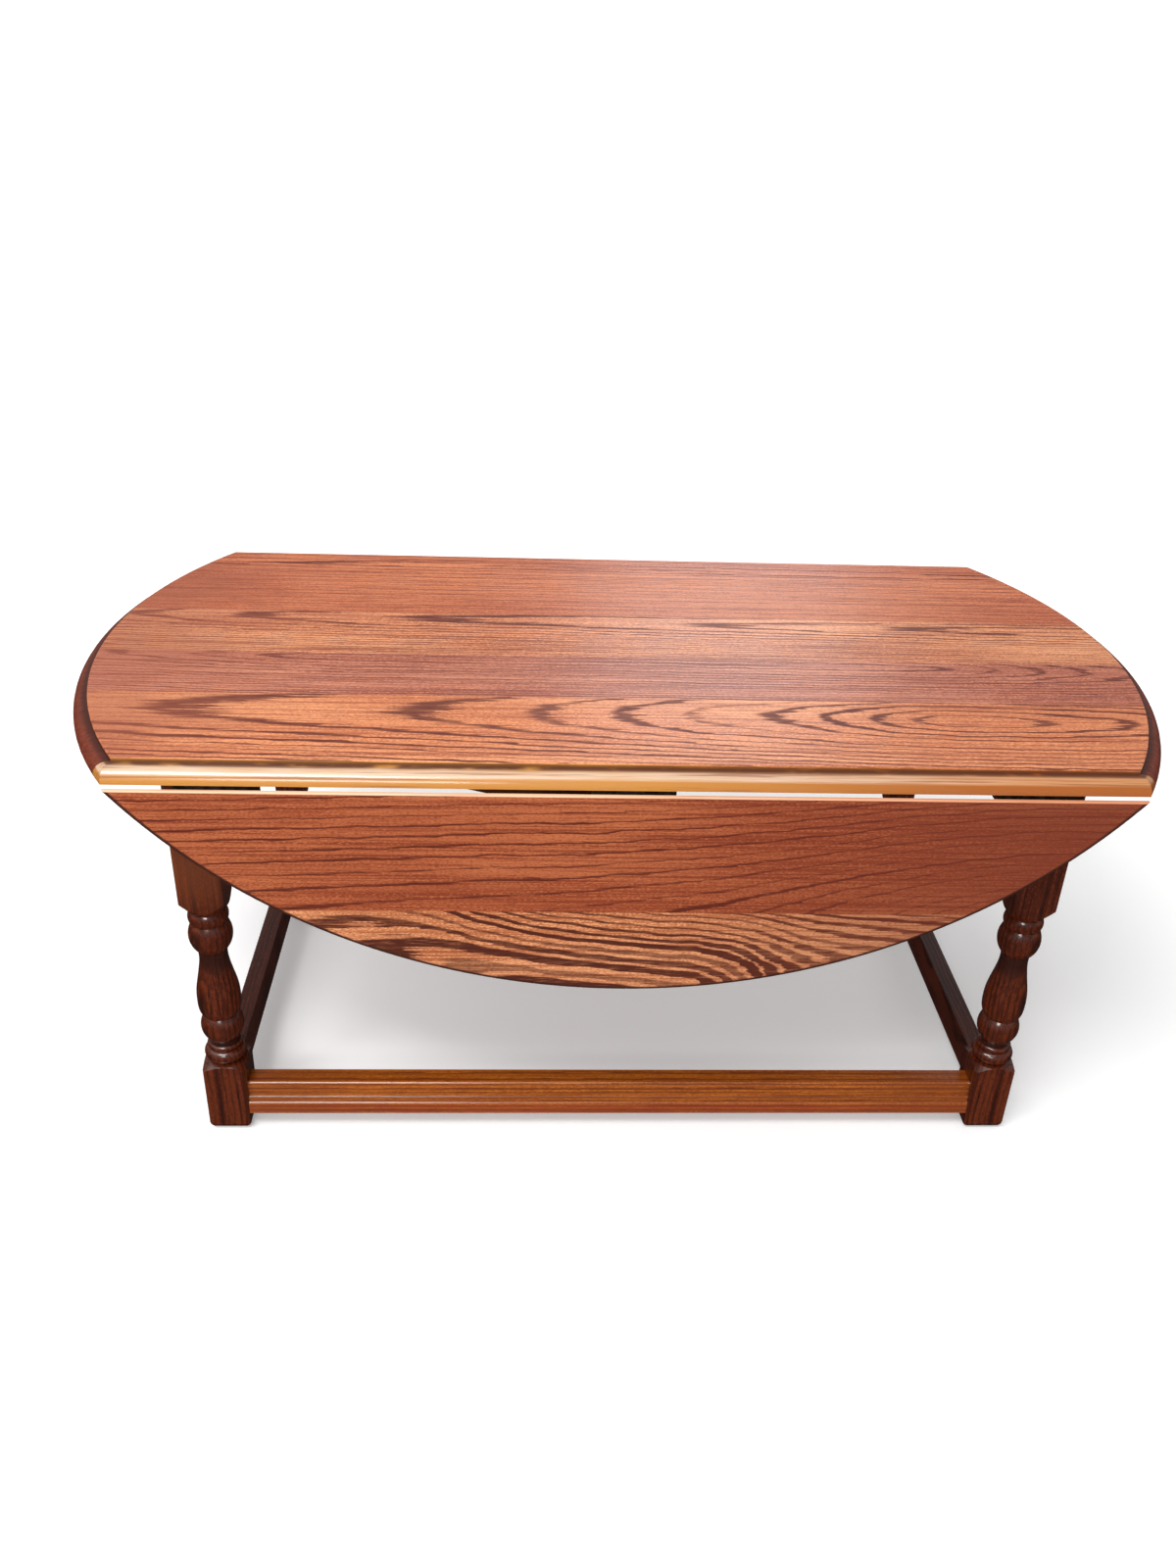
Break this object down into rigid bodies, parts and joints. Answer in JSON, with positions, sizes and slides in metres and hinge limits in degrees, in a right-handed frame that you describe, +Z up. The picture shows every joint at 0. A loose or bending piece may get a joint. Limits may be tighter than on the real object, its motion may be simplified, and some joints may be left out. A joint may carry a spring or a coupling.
{
  "type": "drop leaf coffee table",
  "caption": "Drop-leaf coffee table in stained oak: oval top with hanging rule-jointed leaves, turned legs and a moulded box stretcher.",
  "frame": {"origin": "on the floor under the middle of the top", "axes": "+X along the hinge lines, toward the right end; +Y from the front to the back; +Z up"},
  "size_m": [1.092, 0.573, 0.457],
  "materials": {
    "top_oak": "red-brown stained flat-sawn oak, satin polish, dark open grain, golden wear on the joint edge",
    "frame_oak": "dark brown stained oak, semi-gloss polish",
    "inner_oak": "brown stained oak, planed, hardly polished",
    "block_oak": "bare sawn oak",
    "hinge_steel": "old dull brown steel",
    "screw_steel": "bright steel, slotted heads",
    "washer_brass": "dull brass"
  },
  "bodies": {
    "frame": {"back_hinge_left_pin": "hinge_steel", "back_hinge_left_top_flap": "hinge_steel", "back_hinge_middle_pin": "hinge_steel", "back_hinge_middle_top_flap": "hinge_steel", "back_hinge_right_pin": "hinge_steel", "back_hinge_right_top_flap": "hinge_steel", "back_pivot_pin": "hinge_steel", "back_stretcher": "frame_oak", "bearer_screws": "screw_steel", "button_screws": "screw_steel", "centre_bearer": "inner_oak", "centre_rail": "inner_oak", "corner_block_screws": "screw_steel", "corner_blocks": "block_oak", "front_hinge_left_pin": "hinge_steel", "front_hinge_left_top_flap": "hinge_steel", "front_hinge_middle_pin": "hinge_steel", "front_hinge_middle_top_flap": "hinge_steel", "front_hinge_right_pin": "hinge_steel", "front_hinge_right_top_flap": "hinge_steel", "front_pivot_pin": "hinge_steel", "front_stretcher": "frame_oak", "left_apron": "frame_oak", "left_stretcher": "frame_oak", "leg_back_left": "frame_oak", "leg_back_right": "frame_oak", "leg_front_left": "frame_oak", "leg_front_right": "frame_oak", "pivot_washers": "washer_brass", "right_apron": "frame_oak", "right_stretcher": "frame_oak", "spine_rail": "inner_oak", "top_buttons": "block_oak", "top_flap_screws": "screw_steel", "top_panel": "top_oak"},
    "front_leaf": {"front_hinge_left_leaf_flap": "hinge_steel", "front_hinge_middle_leaf_flap": "hinge_steel", "front_hinge_right_leaf_flap": "hinge_steel", "front_leaf": "top_oak", "front_leaf_screws": "screw_steel"},
    "back_leaf": {"back_hinge_left_leaf_flap": "hinge_steel", "back_hinge_middle_leaf_flap": "hinge_steel", "back_hinge_right_leaf_flap": "hinge_steel", "back_leaf": "top_oak", "back_leaf_screws": "screw_steel"},
    "front_bracket": {"front_bracket": "inner_oak"},
    "back_bracket": {"back_bracket": "inner_oak"}
  },
  "joints": [
    {"name": "front_leaf_hinge", "type": "hinge", "parent": "frame", "child": "front_leaf", "pos_m": [0, -0.266, 0.4365], "axis": [-1, 0, 0], "range_deg": [0, 90]},
    {"name": "back_leaf_hinge", "type": "hinge", "parent": "frame", "child": "back_leaf", "pos_m": [0, 0.266, 0.4365], "axis": [1, 0, 0], "range_deg": [0, 90]},
    {"name": "front_bracket_swing", "type": "hinge", "parent": "frame", "child": "front_bracket", "pos_m": [0, -0.22, 0.41], "axis": [0, 0, 1], "range_deg": [-55, 8]},
    {"name": "back_bracket_swing", "type": "hinge", "parent": "frame", "child": "back_bracket", "pos_m": [0, 0.22, 0.41], "axis": [0, 0, 1], "range_deg": [-55, 8]}
  ]
}
